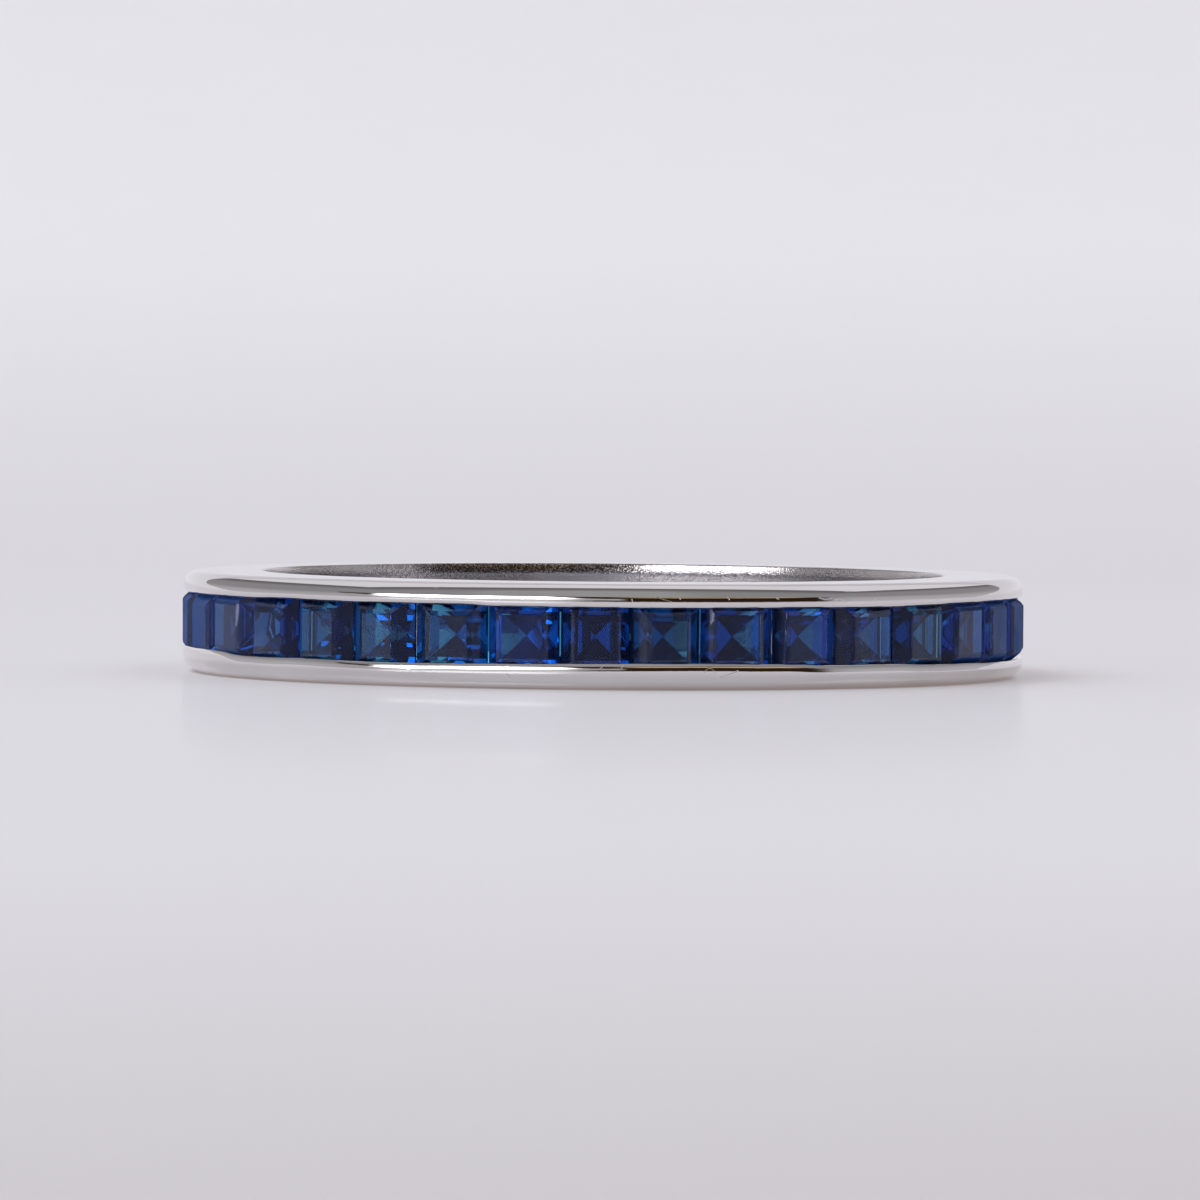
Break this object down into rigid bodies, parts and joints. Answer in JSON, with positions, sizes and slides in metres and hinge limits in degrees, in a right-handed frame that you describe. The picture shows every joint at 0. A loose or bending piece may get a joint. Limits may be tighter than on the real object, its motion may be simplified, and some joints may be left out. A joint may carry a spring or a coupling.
{
  "type": "eternity ring",
  "caption": "Full eternity ring: a polished white metal channel band that holds square step-cut blue sapphires edge to edge all the way round, lying on its side.",
  "frame": {"origin": "centre of the side that the ring lies on, on the axis of the finger bore", "axes": "+Z along the finger bore, up from the side that the ring lies on; -Y is the front of the picture"},
  "size_m": [0.0204, 0.0204, 0.0024],
  "materials": {
    "polished_metal": "mirror-polished white precious metal with fine wear",
    "sapphire": "polished facets, clear deep blue"
  },
  "bodies": {
    "root": {"channel_band": "polished_metal", "sapphire_01": "sapphire", "sapphire_02": "sapphire", "sapphire_03": "sapphire", "sapphire_04": "sapphire", "sapphire_05": "sapphire", "sapphire_06": "sapphire", "sapphire_07": "sapphire", "sapphire_08": "sapphire", "sapphire_09": "sapphire", "sapphire_10": "sapphire", "sapphire_11": "sapphire", "sapphire_12": "sapphire", "sapphire_13": "sapphire", "sapphire_14": "sapphire", "sapphire_15": "sapphire", "sapphire_16": "sapphire", "sapphire_17": "sapphire", "sapphire_18": "sapphire", "sapphire_19": "sapphire", "sapphire_20": "sapphire", "sapphire_21": "sapphire", "sapphire_22": "sapphire", "sapphire_23": "sapphire", "sapphire_24": "sapphire", "sapphire_25": "sapphire", "sapphire_26": "sapphire", "sapphire_27": "sapphire", "sapphire_28": "sapphire", "sapphire_29": "sapphire", "sapphire_30": "sapphire", "sapphire_31": "sapphire", "sapphire_32": "sapphire", "sapphire_33": "sapphire", "sapphire_34": "sapphire", "sapphire_35": "sapphire", "sapphire_36": "sapphire"}
  },
  "joints": []
}
